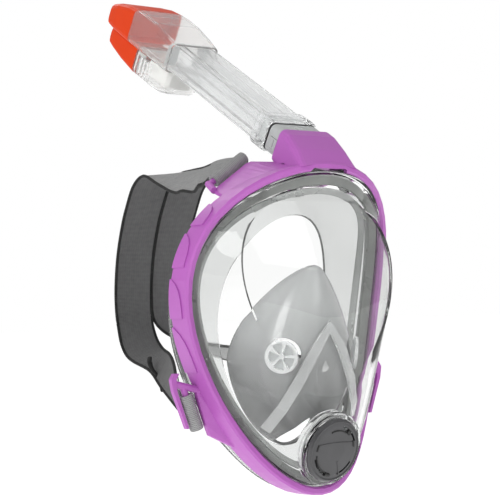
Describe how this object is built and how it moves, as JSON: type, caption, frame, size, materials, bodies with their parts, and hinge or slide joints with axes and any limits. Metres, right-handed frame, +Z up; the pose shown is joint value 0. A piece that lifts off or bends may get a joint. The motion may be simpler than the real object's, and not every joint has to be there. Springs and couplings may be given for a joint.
{
  "type": "full face snorkel mask",
  "caption": "Full face snorkel mask: clear lens in a purple frame, silicone skirt and nose pocket, chin valve, flat dry-top snorkel leaning back, and elastic head straps.",
  "frame": {"origin": "centre of the face opening, at the depth where the silicone seal meets the temples", "axes": "+Z up along the face, -Y the way the wearer looks, +X the wearer's left"},
  "size_m": [0.1974, 0.2687, 0.3933],
  "materials": {
    "frame_purple": "satin moulded plastic",
    "lens_clear": "polished clear polycarbonate",
    "skirt_silicone": "satin translucent silicone",
    "pocket_silicone": "satin translucent silicone",
    "retainer_clear": "clear moulded plastic",
    "valve_clear": "clear moulded plastic",
    "connector_grey": "grey translucent plastic",
    "gasket_black": "matt rubber",
    "strap_elastic": "woven elastic webbing",
    "strap_loop": "woven elastic webbing",
    "binding_black": "sewn binding",
    "tube_clear": "clear moulded plastic",
    "head_clear": "clear, lightly frosted plastic",
    "cap_orange": "satin moulded plastic",
    "float_plastic": "foamed white plastic",
    "flap_silicone": "thin silicone",
    "cover_grey": "satin moulded plastic"
  },
  "bodies": {
    "mask": {"frame_bezel": "frame_purple", "visor_lens": "lens_clear", "face_skirt": "skirt_silicone", "orinasal_pocket": "pocket_silicone", "pocket_retainer": "retainer_clear", "inhale_seat_left": "valve_clear", "inhale_seat_right": "valve_clear", "chin_valve_seat": "valve_clear", "snorkel_connector": "connector_grey", "connector_gasket": "gasket_black", "strap_left": "strap_elastic", "strap_right": "strap_elastic", "strap_seam": "binding_black", "strap_loop_upper_left": "strap_loop", "strap_loop_upper_right": "strap_loop", "strap_loop_lower_left": "strap_loop", "strap_loop_lower_right": "strap_loop"},
    "snorkel": {"snorkel_tube": "tube_clear", "tube_collar": "tube_clear", "dry_top_housing": "head_clear", "top_cap": "cap_orange", "float_cage": "head_clear", "rear_cap": "cap_orange", "inlet_seat": "float_plastic"},
    "float": {"float_body": "float_plastic", "float_seal": "flap_silicone"},
    "exhale_flap_left": {"exhale_flap_left": "flap_silicone"},
    "exhale_flap_right": {"exhale_flap_right": "flap_silicone"},
    "chin_cover": {"chin_valve_cover": "cover_grey"},
    "chin_membrane": {"chin_valve_membrane": "flap_silicone"},
    "inhale_flap_left": {"inhale_flap_left": "flap_silicone"},
    "inhale_flap_right": {"inhale_flap_right": "flap_silicone"},
    "latch_left": {"latch_left": "connector_grey"},
    "latch_right": {"latch_right": "connector_grey"}
  },
  "joints": [
    {"name": "snorkel_release", "type": "slide", "parent": "mask", "child": "snorkel", "axis": [0, 0.8453, 0.5344], "range_m": [0, 0.03]},
    {"name": "float_rise", "type": "slide", "parent": "snorkel", "child": "float", "axis": [0, 0.8453, 0.5344], "range_m": [0, 0.011]},
    {"name": "exhale_flap_left_lift", "type": "hinge", "parent": "snorkel", "child": "exhale_flap_left", "pos_m": [0.014, 0.09327, 0.22676], "axis": [1, 0, 0], "range_deg": [0, 25], "stiffness_Nm_per_rad": 0.002},
    {"name": "exhale_flap_right_lift", "type": "hinge", "parent": "snorkel", "child": "exhale_flap_right", "pos_m": [-0.014, 0.09327, 0.22676], "axis": [1, 0, 0], "range_deg": [0, 25], "stiffness_Nm_per_rad": 0.002},
    {"name": "chin_cover_twist", "type": "hinge", "parent": "mask", "child": "chin_cover", "pos_m": [0, -0.0645, -0.0852], "axis": [0, -0.9598, -0.2807], "range_deg": [0, 30]},
    {"name": "chin_membrane_lift", "type": "slide", "parent": "mask", "child": "chin_membrane", "axis": [0, -0.9598, -0.2807], "range_m": [0, 0.0015], "stiffness_N_per_m": 100},
    {"name": "inhale_flap_left_lift", "type": "slide", "parent": "mask", "child": "inhale_flap_left", "axis": [-0.8037, 0.5827, 0.1206], "range_m": [0, 0.002], "stiffness_N_per_m": 50},
    {"name": "inhale_flap_right_lift", "type": "slide", "parent": "mask", "child": "inhale_flap_right", "axis": [0.8037, 0.5827, 0.1206], "range_m": [0, 0.002], "stiffness_N_per_m": 50},
    {"name": "latch_left_press", "type": "slide", "parent": "mask", "child": "latch_left", "axis": [-1, 0, 0], "range_m": [0, 0.0014], "stiffness_N_per_m": 600},
    {"name": "latch_right_press", "type": "slide", "parent": "mask", "child": "latch_right", "axis": [1, 0, 0], "range_m": [0, 0.0014], "stiffness_N_per_m": 600}
  ]
}
